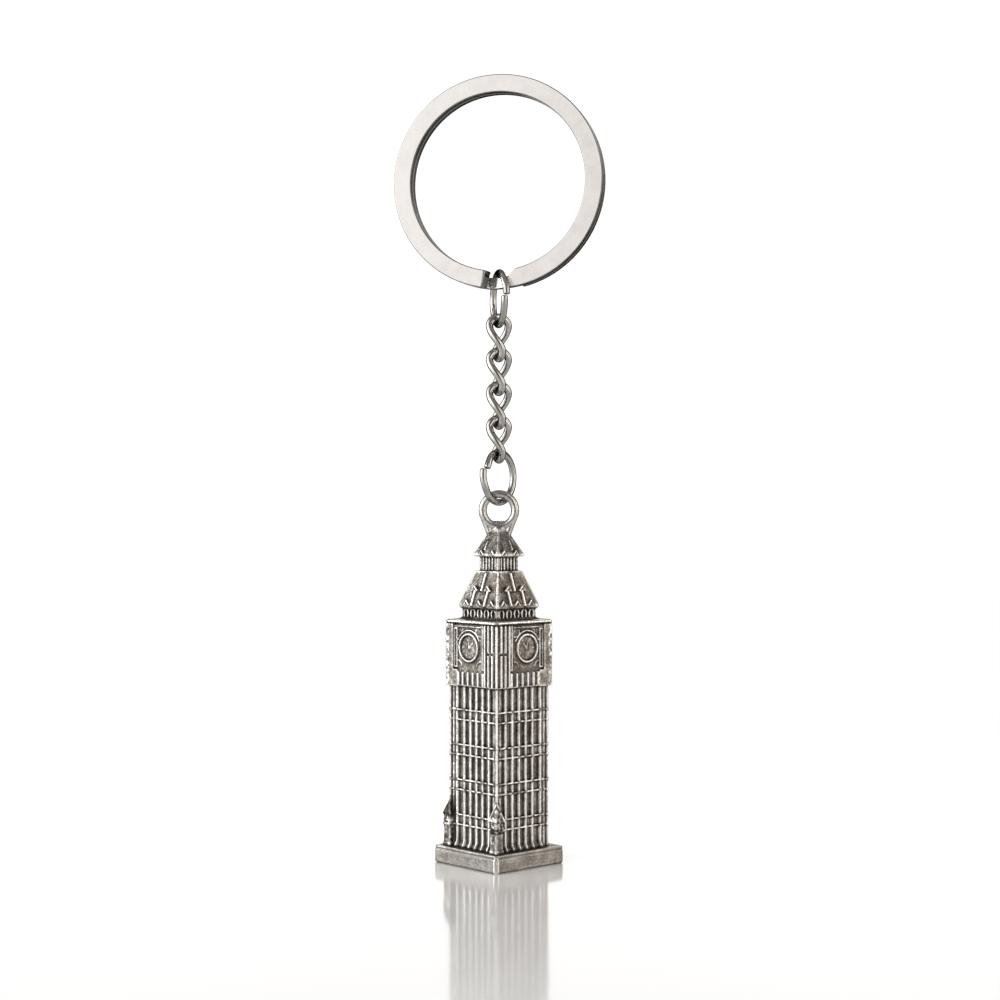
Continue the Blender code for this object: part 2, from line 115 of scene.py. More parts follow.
class Nodes:
    """Short names for making the nodes of a material or a world."""

    def __init__(self, owner, coordinates="Object"):
        owner.use_nodes = True
        self.owner = owner
        self.tree = owner.node_tree
        self.shader = self.tree.nodes.get("Principled BSDF")
        self.place = self.add("ShaderNodeTexCoord").outputs[coordinates]

    def add(self, kind, **values):
        node = self.tree.nodes.new(kind)
        for key, value in values.items():
            setattr(node, key, value)
        return node

    def link(self, source, target):
        self.tree.links.new(source, target)

    def attribute(self, name):
        return self.add("ShaderNodeAttribute", attribute_name=name).outputs["Fac"]

    def blend(self, share, first, second):
        """A colour mix of a socket with another socket or a fixed colour."""
        node = self.add("ShaderNodeMix", data_type="RGBA")
        self.link(share, node.inputs["Factor"])
        self.link(first, node.inputs["A"])
        if isinstance(second, tuple):
            node.inputs["B"].default_value = (*second, 1.0)
        else:
            self.link(second, node.inputs["B"])
        return node.outputs["Result"]

    def finish(self, colour, rough, normal, edge):
        """Connects a metal's colour, roughness and bump. edge is its tint at grazing angles."""
        self.link(colour, self.shader.inputs["Base Color"])
        self.link(rough, self.shader.inputs["Roughness"])
        self.link(normal, self.shader.inputs["Normal"])
        self.shader.inputs["Metallic"].default_value = 1.0
        self.shader.inputs["Specular Tint"].default_value = (*edge, 1.0)
        return self.owner

    def dot(self, axis):
        """How far the place is along an axis."""
        node = self.add("ShaderNodeVectorMath", operation="DOT_PRODUCT")
        node.inputs[1].default_value = axis
        self.link(self.place, node.inputs[0])
        return node.outputs["Value"]

    def ray(self, kind):
        return self.add("ShaderNodeLightPath").outputs[kind]

    def mix_shader(self, share, first, second):
        node = self.add("ShaderNodeMixShader")
        self.link(share, node.inputs["Fac"])
        self.link(first, node.inputs[1])
        self.link(second, node.inputs[2])
        return node.outputs["Shader"]

    def noise(self, size, detail=3.0, stretch=None, rough=0.55):
        """Noise whose lumps are about size metres across."""
        source = self.place
        if stretch:
            mapping = self.add("ShaderNodeMapping")
            mapping.inputs["Scale"].default_value = stretch
            self.link(source, mapping.inputs["Vector"])
            source = mapping.outputs["Vector"]
        node = self.add("ShaderNodeTexNoise")
        node.inputs["Scale"].default_value = 1.0 / size
        node.inputs["Detail"].default_value = detail
        node.inputs["Roughness"].default_value = rough
        self.link(source, node.inputs["Vector"])
        return node.outputs["Fac"]

    def remap(self, source, low, high, to_low, to_high):
        """Maps low to high on to to_low to to_high, and holds the ends."""
        node = self.add("ShaderNodeMapRange")
        limits = {"From Min": low, "From Max": high, "To Min": to_low, "To Max": to_high}
        for key, value in limits.items():
            node.inputs[key].default_value = value
        self.link(source, node.inputs["Value"])
        return node.outputs["Result"]

    def maths(self, operation, first, second):
        """A Math node on two inputs, each a number or a socket."""
        node = self.add("ShaderNodeMath", operation=operation)
        for socket, value in zip(node.inputs, (first, second)):
            if isinstance(value, float):
                socket.default_value = value
            else:
                self.link(value, socket)
        return node.outputs["Value"]

    def ramp(self, source, stops):
        """Colours by position, from stops of (position, colour)."""
        node = self.add("ShaderNodeValToRGB")
        ramp = node.color_ramp
        while len(ramp.elements) < len(stops):
            ramp.elements.new(0.5)
        for element, (position, colour) in zip(ramp.elements, stops):
            element.position = position
            element.color = (*colour, 1.0)
        self.link(source, node.inputs["Fac"])
        return node.outputs["Color"]

    def bump(self, source, height, before=None):
        """A bump of a height in metres, on top of an earlier bump."""
        node = self.add("ShaderNodeBump")
        node.inputs["Distance"].default_value = height
        node.inputs["Strength"].default_value = 1.0
        self.link(source, node.inputs["Height"])
        if before is not None:
            self.link(before, node.inputs["Normal"])
        return node.outputs["Normal"]


# the part of its 0 to 1 that a noise texture mostly spans
NOISE_SPAN = (0.3, 0.7)
# metres across the nickel's tarnish, its drawing marks and its pits, and the bumps' height
TARNISH, DRAWN, PITS = 0.0022, 0.00035, 0.00022
DRAWN_HIGH, PITS_HIGH = 0.000006, 0.000004
# colour of the painted shade on the split ring's rounded edges and cut ends
PAINTED_RIM_SHADE = (0.24, 0.233, 0.225)


def nickel(name, bright, dull, rough, lay, edge, relief):
    """Bright plated steel: faint cloudy tarnish, fine drawing marks and pits, and painted shade on
    the rims.

    rough is the roughness of the bright and of the tarnished metal, lay stretches the drawing
    marks, edge is the tint at grazing angles, and relief scales the bumps.
    """
    made = Nodes(bpy.data.materials.new(name))
    cloud = made.noise(TARNISH, 4.0)
    lines = made.noise(DRAWN, 3.0, stretch=lay)
    pits = made.noise(PITS, 2.0)
    colour = made.ramp(cloud, ((0.3, dull), (0.62, bright)))
    # painted shade where the mesh marks the rims
    colour = made.blend(made.attribute("rim"), colour, PAINTED_RIM_SHADE)
    tarnish = made.remap(cloud, *NOISE_SPAN, rough[1], rough[0])
    marks = made.remap(lines, 0.35, 0.7, -0.03, 0.04)
    drawn = made.bump(lines, DRAWN_HIGH * relief)
    pitted = made.bump(pits, PITS_HIGH * relief, drawn)
    return made.finish(colour, made.maths("ADD", tarnish, marks), pitted, (edge, edge, edge))


# From the dark wash in the hollows to the bright metal of the rubbed edges.
WASH_TO_BRIGHT = (
    (0.05, (0.03, 0.026, 0.022)),
    (0.3, (0.088, 0.078, 0.068)),
    (0.46, (0.19, 0.174, 0.157)),
    (0.58, (0.42, 0.40, 0.375)),
    (0.72, (0.80, 0.785, 0.765)),
    (0.88, (0.96, 0.95, 0.935)),
)
# The smooth metal of the eye and, in part, of the base.
POLISHED = ((0.3, (0.36, 0.345, 0.325)), (0.62, (0.6, 0.585, 0.565)))
SILVER_EDGE = (0.45, 0.44, 0.43)
# metres across the silver's clouds, its cast grain and its brush marks, and the bumps' height
CLOUD, GRAIN, BRUSHED = 0.0016, 0.00024, 0.0005
GRAIN_HIGH, BRUSHED_HIGH = 0.00004, 0.000018
# roughness of the dark wash and of rubbed metal, what polish takes off it, and the least there is
WASH_ROUGH, RUBBED_ROUGH, POLISH_GAIN, LEAST_ROUGH = 0.52, 0.14, 0.34, 0.06


def antique_silver():
    """Silver plate with a dark wash that stays in the hollows, rubbed bright on raised edges; the
    same colours carry the tower's painted shade and painted highlight.
    """
    made = Nodes(bpy.data.materials.new("antique_silver"))
    worn_and_painted_light, polish = made.attribute("worn_and_painted_light"), made.attribute("polish")
    cloud = made.noise(CLOUD, 4.0)
    grain = made.noise(GRAIN, 3.0, rough=0.65)
    lines = made.noise(BRUSHED, 3.0, stretch=(0.16, 0.16, 2.4))
    spread = made.maths("ADD", made.remap(grain, *NOISE_SPAN, -0.1, 0.1), worn_and_painted_light)
    spread = made.maths("ADD", made.remap(cloud, *NOISE_SPAN, -0.06, 0.06), spread)
    colour = made.blend(polish, made.ramp(spread, WASH_TO_BRIGHT), made.ramp(cloud, POLISHED))
    dull = made.remap(spread, 0.1, 0.95, WASH_ROUGH, RUBBED_ROUGH)
    gain = made.maths("MULTIPLY", polish, POLISH_GAIN)
    rough = made.maths("MAXIMUM", made.maths("SUBTRACT", dull, gain), LEAST_ROUGH)
    brushed = made.bump(lines, BRUSHED_HIGH)
    return made.finish(colour, rough, made.bump(grain, GRAIN_HIGH, brushed), SILVER_EDGE)


# -------------------------------------- split ring

# Lengths in mm, and angles in degrees from the bottom of the ring.
CAD_RING_R, RING_R, RING_HOLE = 15.0, 14.98, 12.5
STRIP, LAYER_GAP, EDGE_EASE = 1.25, 0.12, 0.13
# the dip where the strip is thinned towards the hole, and the share of it that slopes
DIP_HOLE, DIP_HALF, DIP_SLOPE = 13.4, 13.0, 0.55
FRONT_END, BACK_END = -8.5, 13.0
CROSS_START, CROSS_END = 7.5, -7.0
# the front end's lean from front to back and from hole to rim, and each cut end's (angle, inset)
SHEAR, SLANT = 0.46, 0.35
FRONT_CUT, BACK_CUT = (0.35, 0.06), (0.45, 0.1)
RING_STEPS, EDGE_STEPS = 760, 4
# a point this far beyond each end of a rounded edge keeps the broad faces flat-shaded
HOLD = 0.02
# how much painted shade each point along one rounded edge gets, from one broad face to the next
RIM_SHADE_SHARES = (0.0, 0.4, 1.0, 1.0, 1.0, 0.4, 0.0)


def strip_section(angle, shrink=0.0):
    """Points round the flat strip's section at an angle, with its four edges rounded."""
    turn = math.radians(angle)
    outward = np.array((math.sin(turn), 0.0, -math.cos(turn)))
    across = float(smooth_step((CROSS_START - angle) / (CROSS_START - CROSS_END)))
    depth = (across - 0.5) * (STRIP + LAYER_GAP)
    near = abs((angle + 180.0) % 360.0 - 180.0)
    hole = RING_HOLE
    if abs(angle) < 180.0 and near < DIP_HALF:
        slope = float(smooth_step((DIP_HALF - near) / (DIP_HALF * DIP_SLOPE)))
        hole += slope * (DIP_HOLE - RING_HOLE)
    half = STRIP / 2 - shrink
    inner, outer, ease = hole + shrink, RING_R - shrink, EDGE_EASE
    points = []
    for r, y, start in (
        (inner + ease, -half + ease, 180.0),
        (outer - ease, -half + ease, 270.0),
        (outer - ease, half - ease, 0.0),
        (inner + ease, half - ease, 90.0),
    ):
        arc = [math.radians(start + 90.0 * i / EDGE_STEPS) for i in range(EDGE_STEPS + 1)]
        arc = [(r + ease * math.cos(a), y + ease * math.sin(a)) for a in arc]
        a, b = math.radians(start), math.radians(start + 90.0)
        first = (arc[0][0] + math.sin(a) * HOLD, arc[0][1] - math.cos(a) * HOLD)
        last = (arc[-1][0] - math.sin(b) * HOLD, arc[-1][1] + math.cos(b) * HOLD)
        points += [first, *arc, last]
    return [outward * r + np.array((0.0, depth + y, 0.0)) for r, y in points]


def split_ring_mesh():
    """The strip wound almost twice round, with its centre at the origin."""
    start, end = 360.0 + FRONT_END, -360.0 + BACK_END
    angles = [start + (end - start) * i / RING_STEPS for i in range(RING_STEPS + 1)]
    rows = [strip_section(a) for a in angles]
    # the front end is sheared at a slant, longest at the back and towards the hole
    cut = strip_section(angles[0] + FRONT_CUT[0], FRONT_CUT[1])
    along = (cut[0] - rows[3][0]) / np.linalg.norm(cut[0] - rows[3][0])
    for p, q in zip(cut, rows[0]):
        depth = (q[1] + STRIP + LAYER_GAP / 2) / STRIP
        height = (np.hypot(q[0], q[2]) - RING_HOLE) / (RING_R - RING_HOLE)
        reach = SHEAR * depth + SLANT * (0.5 - height)
        q += along * reach
        p += along * reach
    rows.insert(0, cut)
    rows.append(strip_section(angles[-1] - BACK_CUT[0], BACK_CUT[1]))
    per = len(rows[0])
    points = [p * MM for row in rows for p in row]
    faces = []
    for i in range(len(rows) - 1):
        for j in range(per):
            k = (j + 1) % per
            faces.append((i * per + j, i * per + k, (i + 1) * per + k, (i + 1) * per + j))
    faces.append(tuple(range(per))[::-1])
    faces.append(tuple((len(rows) - 1) * per + j for j in range(per)))
    mesh = mesh_from("split_ring_strip", points, faces)
    mesh.set_sharp_from_angle(angle=math.radians(40))
    # painted shade darkens the strip's rounded edges, and fully darkens its sheared ends
    rim_shade = [RIM_SHADE_SHARES[i % len(RIM_SHADE_SHARES)] for i in range(len(points))]
    rim_shade[:per] = rim_shade[-per:] = [1.0] * per
    mesh.attributes.new("rim", "FLOAT", "POINT").data.foreach_set("value", rim_shade)
    return mesh


# ---------------------------------- wire and links

WIRE_SIDES, END_EASE = 20, 0.16
# any direction that no wire starts along
FIRST_SIDE = (0.31, 0.52, 0.79)


def tube(name, path, radius, closed):
    """Round wire along a smooth path of millimetre points, with eased ends where it is cut."""
    path = np.array(path)
    if closed:
        ahead, behind = np.roll(path, -1, 0), np.roll(path, 1, 0)
    else:
        ahead = np.vstack([path[1:], path[-1:]])
        behind = np.vstack([path[:1], path[:-1]])
    tangent = ahead - behind
    tangent /= np.linalg.norm(tangent, axis=1)[:, None]
    normal = np.cross(tangent[0], FIRST_SIDE)
    normals = []
    for t in tangent:
        normal = normal - t * (normal @ t)
        normal = normal / np.linalg.norm(normal)
        normals.append(normal)
    normals = np.array(normals)
    if closed:
        # spread the twist that is left over along the whole loop
        drift = normals[-1] - tangent[0] * (normals[-1] @ tangent[0])
        drift /= np.linalg.norm(drift)
        side = np.cross(tangent[0], normals[0])
        error = math.atan2(drift @ side, drift @ normals[0])
        turns = -error * np.arange(len(path)) / len(path)
        sideways = np.cross(tangent, normals)
        normals = normals * np.cos(turns)[:, None] + sideways * np.sin(turns)[:, None]
    sideways = np.cross(tangent, normals)
    rings = [(path[i], tangent[i], normals[i], sideways[i], radius) for i in range(len(path))]
    if not closed:
        p, t, n, s, r = rings[0]
        rings[:0] = [
            (p - t * END_EASE, t, n, s, r - END_EASE),
            (p - t * END_EASE * 0.7, t, n, s, r - END_EASE * 0.3),
        ]
        p, t, n, s, r = rings[-1]
        rings += [
            (p + t * END_EASE * 0.7, t, n, s, r - END_EASE * 0.3),
            (p + t * END_EASE, t, n, s, r - END_EASE),
        ]
    sides = WIRE_SIDES
    points, faces = [], []
    for p, _, n, s, r in rings:
        for j in range(sides):
            a = 2 * math.pi * j / sides
            points.append((p + (n * math.cos(a) + s * math.sin(a)) * r) * MM)
    count = len(rings)
    for i in range(count if closed else count - 1):
        k = (i + 1) % count
        for j in range(sides):
            m = (j + 1) % sides
            faces.append((i * sides + j, k * sides + j, k * sides + m, i * sides + m))
    if not closed:
        faces.append(tuple(range(sides)))
        faces.append(tuple((count - 1) * sides + j for j in range(sides))[::-1])
    return mesh_from(name, points, faces)


def turned(points, heading, height):
    """Points turned about the plumb line and lifted."""
    turn = math.radians(heading)
    c, s = math.cos(turn), math.sin(turn)
    return [(x * c - y * s, x * s + y * c, z + height) for x, y, z in points]


# PLAY is taken off the wire, to stay clear of the next one as the joints swing. BENT is the share
# of a jump ring's wire, at each end, that is out of line.
JUMP_WIRE, PLAY = 0.5, 0.02
JUMP_STEPS, BENT = 150, 0.14


def jump_path(outer, cut, gap, above, below):
    """A jump ring's wire, cut at an angle in degrees by a gap in degrees.

    above and below push its first and last end out of line, as (sideways, outwards).
    """
    radius = outer - JUMP_WIRE
    points = []
    for i in range(JUMP_STEPS + 1):
        share = i / JUMP_STEPS
        turn = math.radians(cut + gap / 2 + (360.0 - gap) * share)
        first = smooth_step((BENT - share) / BENT)
        last = smooth_step((share - (1.0 - BENT)) / BENT)
        aside = above[0] * first + below[0] * last
        r = radius + above[1] * first + below[1] * last
        points.append((r * math.cos(turn), aside, r * math.sin(turn)))
    return points


LINK_WIRE, LINK_LONG, LINK_WIDE, LINK_TWIST = 0.525, 6.9, 3.9, 94.0
BEND_STEPS, SIDE_STEPS = 36, 28


def link_path():
    """A curb link: an oval of wire whose lower end is turned against its upper end."""
    half = LINK_WIDE / 2 - LINK_WIRE
    straight = LINK_LONG / 2 - LINK_WIRE - half
    bend = [math.pi * i / BEND_STEPS for i in range(BEND_STEPS + 1)]
    points = [(half * math.cos(a), straight + half * math.sin(a)) for a in bend]
    points += [(-half, straight - 2 * straight * i / SIDE_STEPS) for i in range(1, SIDE_STEPS)]
    points += [(-x, -z) for x, z in points]
    reach = straight + half * 0.5
    path = []
    for x, z in points:
        turn = math.radians(LINK_TWIST * float(smooth_step((reach - z) / (2 * reach))))
        path.append((x * math.cos(turn), x * math.sin(turn), z))
    return path


# ------------------------------------ tower, in mm
# Heights are above the base's underside. Every face has its own frame: along grows from a middle
# corner (front or back) to a side corner (left or right), and out grows away from the tower. A half
# is half a width, out to the ribs, and a wall is the face behind them.

BASE_HALF, BASE_TOP, SHAFT_TOP = 6.4, 2.45, 24.9
SHAFT_HALF, SHAFT_WALL = 4.835, 4.38
RIBS = (-3.05, -1.78, -0.52, 0.74, 2.02, 3.55)
RIB_WIDTHS = (0.56, 0.56, 0.56, 0.56, 0.56, 0.66)
COURSES = (5.5, 6.9, 10.4, 11.8, 15.3, 16.7, 20.2, 21.6)
TURRETS = ((4.9, -4.9), (-4.85, -4.85))
CLOCK_HALF, CLOCK_WALL, CLOCK_TOP = 5.3, 4.98, 34.2
STUBS, STUB_TOP = (-2.3, -1.3, -0.25, 0.8, 1.85, 2.75), 27.0
DIAL = (0.62, 30.35)
# each hand's angle, length and thickness
HANDS = ((-42.0, 0.85, 0.17), (18.0, 1.15, 0.14))
ARCADE_HALF, ARCADE_TOP = 3.72, 35.8
# sloping faces, as (half, height) at the foot and at the top
ROOF_FOOT, ROOF_HEAD = (3.98, 36.3), (2.32, 40.8)
SPIRE_FOOT, SPIRE_HEAD = (2.52, 43.3), (0.7, 47.0)
LANTERN_HALF, LANTERN_WALL = 1.92, 1.58
EYE_Z, EYE_R, EYE_WIRE = 49.45, 2.28, 0.58
ALL_CORNERS = ((-1, -1), (-1, 1), (1, -1), (1, 1))
MIDDLE_CORNERS = ((-1, 1), (1, -1))


class Casting:
    """Collects overlapping closed solids that a fine remesh turns into one cast skin."""

    def __init__(self):
        self.shape = bmesh.new()
        axes = (((0, 1), (1, 0)), ((1, 0), (0, 1)), ((0, -1), (-1, 0)), ((-1, 0), (0, -1)))
        self.frames = [
            Matrix(((a[0], n[0], 0, 0), (a[1], n[1], 0, 0), (0, 0, 1, 0), (0, 0, 0, 1)))
            for a, n in axes
        ]

    def solid(self, rows):
        """A closed solid from rows of points, each row a loop of the same length."""
        made = [[self.shape.verts.new(p) for p in row] for row in rows]
        self.shape.faces.new(made[0])
        self.shape.faces.new(made[-1])
        for near, far in zip(made, made[1:]):
            for i in range(len(near)):
                j = (i + 1) % len(near)
                self.shape.faces.new((near[i], near[j], far[j], far[i]))

    def block(self, half, low, high, centre=(0.0, 0.0), ease=0.0, side_ease=None):
        """An upright square block with cut corners. side_ease is for the two side corners."""
        x, y = centre
        h, e = half, half - ease
        side = e if side_ease is None else half - side_ease
        if ease:
            loop = [(e, -h), (h, -e), (h, side), (side, h)]
            loop += [(-a, -b) for a, b in loop]
        else:
            loop = [(h, -h), (h, h), (-h, h), (-h, -h)]
        self.solid([[(x + a, y + b, z) for a, b in loop] for z in (low, high)])

    def roof(self, halves, heights, centre=(0.0, 0.0)):
        """A square solid whose half width changes with height."""
        x, y = centre
        corners = ((1, -1), (1, 1), (-1, 1), (-1, -1))
        sizes = zip(halves, heights)
        self.solid([[(x + a * h, y + b * h, z) for a, b in corners] for h, z in sizes])

    def bar(self, face, along, width, wall, out, low, high, lean=0.0, sides=6):
        """A round-fronted upright bar on a face. lean moves it inwards for each unit of height."""
        back, spring = wall - 0.3, wall + 0.05
        rows = []
        for z in (low, high):
            shift = -lean * (z - low)
            loop = []
            for i in range(sides + 1):
                a = math.pi * i / sides
                x = along + width / 2 * math.cos(a)
                y = spring + (out - wall - 0.05) * math.sin(a) ** 0.7
                loop.append((x, y + shift))
            loop += [(along - width / 2, back + shift), (along + width / 2, back + shift)]
            rows.append([face @ Vector((x, y, z)) for x, y in loop])
        self.solid(rows)

    def box(self, face, along, out, up):
        """A plain box on a face, from the lowest and highest value each way."""
        loop = ((along[0], out[0]), (along[1], out[0]), (along[1], out[1]), (along[0], out[1]))
        self.solid([[face @ Vector((x, y, z)) for x, y in loop] for z in up])

    def rod(self, path, radius, closed=False, face=None, sides=8):
        """Round moulding along a path of points, on a face or in the tower's own frame."""
        path = [Vector(p) for p in path]
        if face is not None:
            path = [face @ p for p in path]
        count = len(path)
        angles = [2 * math.pi * j / sides for j in range(sides)]
        rows, normal = [], None
        for i, p in enumerate(path):
            ahead = path[(i + 1) % count] if closed or i < count - 1 else p
            behind = path[i - 1] if closed or i > 0 else p
            t = (ahead - behind).normalized()
            normal = t.orthogonal() if i == 0 else normal - t * normal.dot(t)
            normal.normalize()
            side = t.cross(normal)
            rows.append([p + (normal * math.cos(a) + side * math.sin(a)) * radius for a in angles])
        if closed:
            rows.append(rows[0])
        self.solid(rows)

    def corner_rods(self, foot, head, radius, corners=ALL_CORNERS):
        """Mouldings up the tower's corners, from one (half, height) to another."""
        for x, y in corners:
            self.rod([(x * half, y * half, z) for half, z in (foot, head)], radius)

    def gable(self, face, along, out, base, width, height, deep=0.9, rim=0.13):
        """A small gabled window front: a raised chevron over a recessed opening."""
        half = width / 2
        loop = ((-half, 0.0), (half, 0.0), (0.0, height))
        rows = [
            [face @ Vector((along + x, y, base + z)) for x, z in loop]
            for y in (out - deep, out - 0.12)
        ]
        self.solid(rows)
        for side, radius in ((-1.0, rim), (1.0, rim * 0.55)):
            foot = (along + side * (half + 0.08), out - 0.1, base - 0.03)
            tip = (along - side * 0.04, out - 0.1, base + height + 0.03)
            self.rod((foot, tip), radius, face=face, sides=6)


def oval(centre, half_wide, half_high, out, count=20, start=0.0, span=360.0):
    """Points round an oval, or along an arc of it, at one distance out on a face."""
    x, z = centre
    points = []
    for i in range(count + (0 if span == 360.0 else 1)):
        a = math.radians(start + span * i / count)
        points.append((x + half_wide * math.cos(a), out, z + half_high * math.sin(a)))
    return points


def add_base(cast):
    cast.block(BASE_HALF - 0.06, 0.0, 0.5, ease=0.4, side_ease=0.2)
    cast.block(BASE_HALF, 0.14, 1.9, ease=0.42, side_ease=0.14)
    cast.block(BASE_HALF - 0.14, 0.3, 2.3, ease=0.44, side_ease=0.2)
    cast.block(BASE_HALF - 0.03, 2.1, BASE_TOP, ease=0.42, side_ease=0.14)
    cast.roof((4.95, 4.45), (BASE_TOP - 0.2, BASE_TOP + 0.5))


def add_shaft(cast):
    cast.block(SHAFT_WALL, 1.0, SHAFT_TOP + 0.3)
    foot, top = BASE_TOP - 0.3, SHAFT_TOP + 0.2
    for x, y in ALL_CORNERS:
        post = SHAFT_HALF - 0.56
        cast.block(0.4, 2.0, top, (x * post, y * post))
        c = SHAFT_HALF - (0.06 if x * y > 0 else 0.12)
        cast.rod(((x * c, y * c, 2.0), (x * c, y * c, top)), 0.2)
    for face in cast.frames:
        for along, width in zip(RIBS, RIB_WIDTHS):
            cast.bar(face, along, width, SHAFT_WALL, SHAFT_HALF, foot, top)
            # the rib's foot runs out on to the base
            out, high = SHAFT_HALF + 0.62, BASE_TOP + 1.15
            cast.bar(face, along, width, SHAFT_WALL, out, foot, high, lean=0.55)
        # the plain panel next to the middle corner
        cast.box(face, (-4.45, -3.5), (3.9, SHAFT_WALL + 0.1), (BASE_TOP, SHAFT_TOP))
        cast.bar(face, 4.22, 0.36, SHAFT_WALL, SHAFT_HALF - 0.02, foot, top)
        for z in COURSES:
            cast.rod(((-4.75, SHAFT_HALF - 0.15, z), (4.75, SHAFT_HALF - 0.15, z)), 0.15, face=face)
        for low, high in zip(COURSES[::2], COURSES[1::2]):
            cast.box(face, (-4.6, 4.6), (3.9, SHAFT_WALL + 0.1), (low, high))
            for along in RIBS:
                cast.bar(face, along, 0.6, SHAFT_WALL, SHAFT_HALF, low, high)
    for z in COURSES:
        for x, y in ALL_CORNERS:
            c = SHAFT_HALF - (0.1 if x * y > 0 else 0.22)
            cast.block(0.26, z - 0.15, z + 0.15, (x * c, y * c), ease=0.1)


def add_turret(cast, x, y):
    """A rough square pier with two ledges under a small gabled and pointed roof."""
    centre = (x, y)
    cast.block(0.68, 2.0, 7.1, centre, ease=0.1)
    cast.block(0.78, BASE_TOP - 0.1, BASE_TOP + 0.4, centre, ease=0.12)
    cast.block(0.78, 5.4, 5.62, centre, ease=0.12)
    cast.block(0.74, 5.85, 6.0, centre, ease=0.12)
    front = x > 0
    tip = 9.25 if front else 9.1
    cast.roof((0.68, 0.8, 0.42, 0.05), (6.7, 6.9, 8.0, tip - 0.1), centre)
    # bright mouldings along the roof's side edges, over a small dark niche
    for side in (-1.0, 1.0) if front else ():
        foot = (x + side * 0.82, y + side * 0.82, 6.75)
        cast.rod((foot, (x + side * 0.28, y + side * 0.28, 8.3), (x, y, tip)), 0.17, sides=6)
    for face in cast.frames:
        at = face.inverted() @ Vector((x, y, 0.0))
        if at.y > 0:
            opening = oval((at.x, 6.4), 0.28, 0.34, at.y + 0.66, count=12)
            cast.rod(opening, 0.12, closed=True, face=face, sides=6)
            cast.gable(face, at.x, at.y + 0.8, 6.9, 0.84, 0.62, deep=0.6, rim=0.1)


def add_clock_stage(cast):
    half, wall = CLOCK_HALF, CLOCK_WALL
    low, top = SHAFT_TOP, CLOCK_TOP - 0.68
    cast.block(wall, low, CLOCK_TOP - 0.2)
    cast.block(wall + 0.12, low + 0.05, low + 0.2, ease=0.2)
    # cornice: a rounded slab over a shadow line
    cast.block(half + 0.1, 33.72, 34.08, ease=0.5, side_ease=0.3)
    cast.block(half - 0.06, 33.66, 34.22, ease=0.55, side_ease=0.35)
    cast.corner_rods((half - 0.14, low + 0.1), (half - 0.14, top), 0.18, MIDDLE_CORNERS)
    for face in cast.frames:
        # plain blocks at the side corners, wider below the panel
        cast.box(face, (3.8, half), (4.4, half), (low, top))
        cast.box(face, (2.95, half), (4.4, half - 0.02), (low, 27.25))
        for z in (29.1, 31.2):
            cast.box(face, (4.7, half), (4.4, half + 0.04), (z, z + 0.35))
        # ribs beside the middle corner, broken by a short gap
        for start, end in ((low + 0.1, 29.5), (29.78, top)):
            cast.bar(face, -4.27, 0.46, wall, half, start, end)
            cast.bar(face, -3.46, 0.42, wall, half - 0.02, start, end)
        cast.bar(face, -2.72, 0.34, wall, half - 0.04, low + 0.1, top)
        cast.bar(face, -2.28, 0.3, wall, half - 0.02, 27.3, top)
        # slotted bar on the far side of the dial
        for along in (3.02, 3.5):
            cast.bar(face, along, 0.24, wall, half - 0.02, 27.6, 33.0)
        for z in (27.62, 32.98):
            cast.rod(((3.0, half - 0.14, z), (3.52, half - 0.14, z)), 0.12, face=face, sides=6)
        # the frieze over the dial and the row of stubs under it
        cast.rod(((-2.3, half - 0.3, 33.25), (3.7, half - 0.3, 33.25)), 0.12, face=face)
        for along in STUBS:
            cast.bar(face, along, 0.46, wall, half - 0.02, low + 0.12, STUB_TOP)
        add_dial(cast, face)


def add_dial(cast, face):
    """A thick ring round a dished dial with plain marks and hands, in a moulded frame."""
    half = CLOCK_HALF
    x, z = DIAL
    cast.rod(oval(DIAL, 1.88, 1.88, half - 0.16, count=40), 0.2, closed=True, face=face)
    cast.rod(oval(DIAL, 1.42, 1.42, half - 0.36, count=32), 0.09, closed=True, face=face, sides=6)
    for hour in range(12):
        a = math.radians(30 * hour)
        mark = [(x + r * math.sin(a), half - 0.34, z + r * math.cos(a)) for r in (1.2, 1.5)]
        cast.rod(mark, 0.1, face=face, sides=6)
    cast.rod(((x, CLOCK_WALL - 0.2, z), (x, half - 0.2, z)), 0.22, face=face)
    for angle, reach, thick in HANDS:
        a = math.radians(angle)
        tip = (x + reach * math.sin(a), half - 0.36, z + reach * math.cos(a))
        cast.rod(((x, half - 0.36, z), tip), thick, face=face, sides=6)
    arch = oval(DIAL, 2.38, 2.42, half - 0.2, count=20, start=24.0, span=132.0)
    cast.rod(arch, 0.13, face=face, sides=6)
    for side, over, under in ((-1.0, 270.0, 0.0), (1.0, 180.0, 90.0)):
        for height, radius, start in ((32.9, 0.95, over), (27.75, 0.8, under)):
            corner = (x + side * 2.35, height)
            bow = oval(corner, radius, radius, half - 0.26, count=8, start=start, span=90.0)
            cast.rod(bow, 0.1, face=face, sides=6)


def add_arcade(cast):
    half, foot = ARCADE_HALF, CLOCK_TOP
    cast.block(half - 0.32, foot - 0.5, ARCADE_TOP + 0.2)
    cast.roof((half + 0.32, half + 0.24, half - 0.1), (foot - 0.3, foot + 0.12, foot + 0.38))
    cast.block(half - 0.02, ARCADE_TOP - 0.22, ARCADE_TOP + 0.1)
    for face in cast.frames:
        for i in range(5):
            opening = oval((1.42 * (i - 2), 35.02), 0.43, 0.6, half - 0.14, count=16)
            cast.rod(opening, 0.17, closed=True, face=face, sides=6)
    cast.corner_rods((half - 0.26, foot), (half - 0.26, ARCADE_TOP), 0.24)


def slope_at(z, foot, head):
    """Half width at height z of a slope, from (half, height) at its foot and at its head."""
    return foot[0] + (head[0] - foot[0]) * (z - foot[1]) / (head[1] - foot[1])


def lean_of(foot, head):
    """How far a slope moves inwards for each unit of height."""
    return (foot[0] - head[0]) / (head[1] - foot[1])


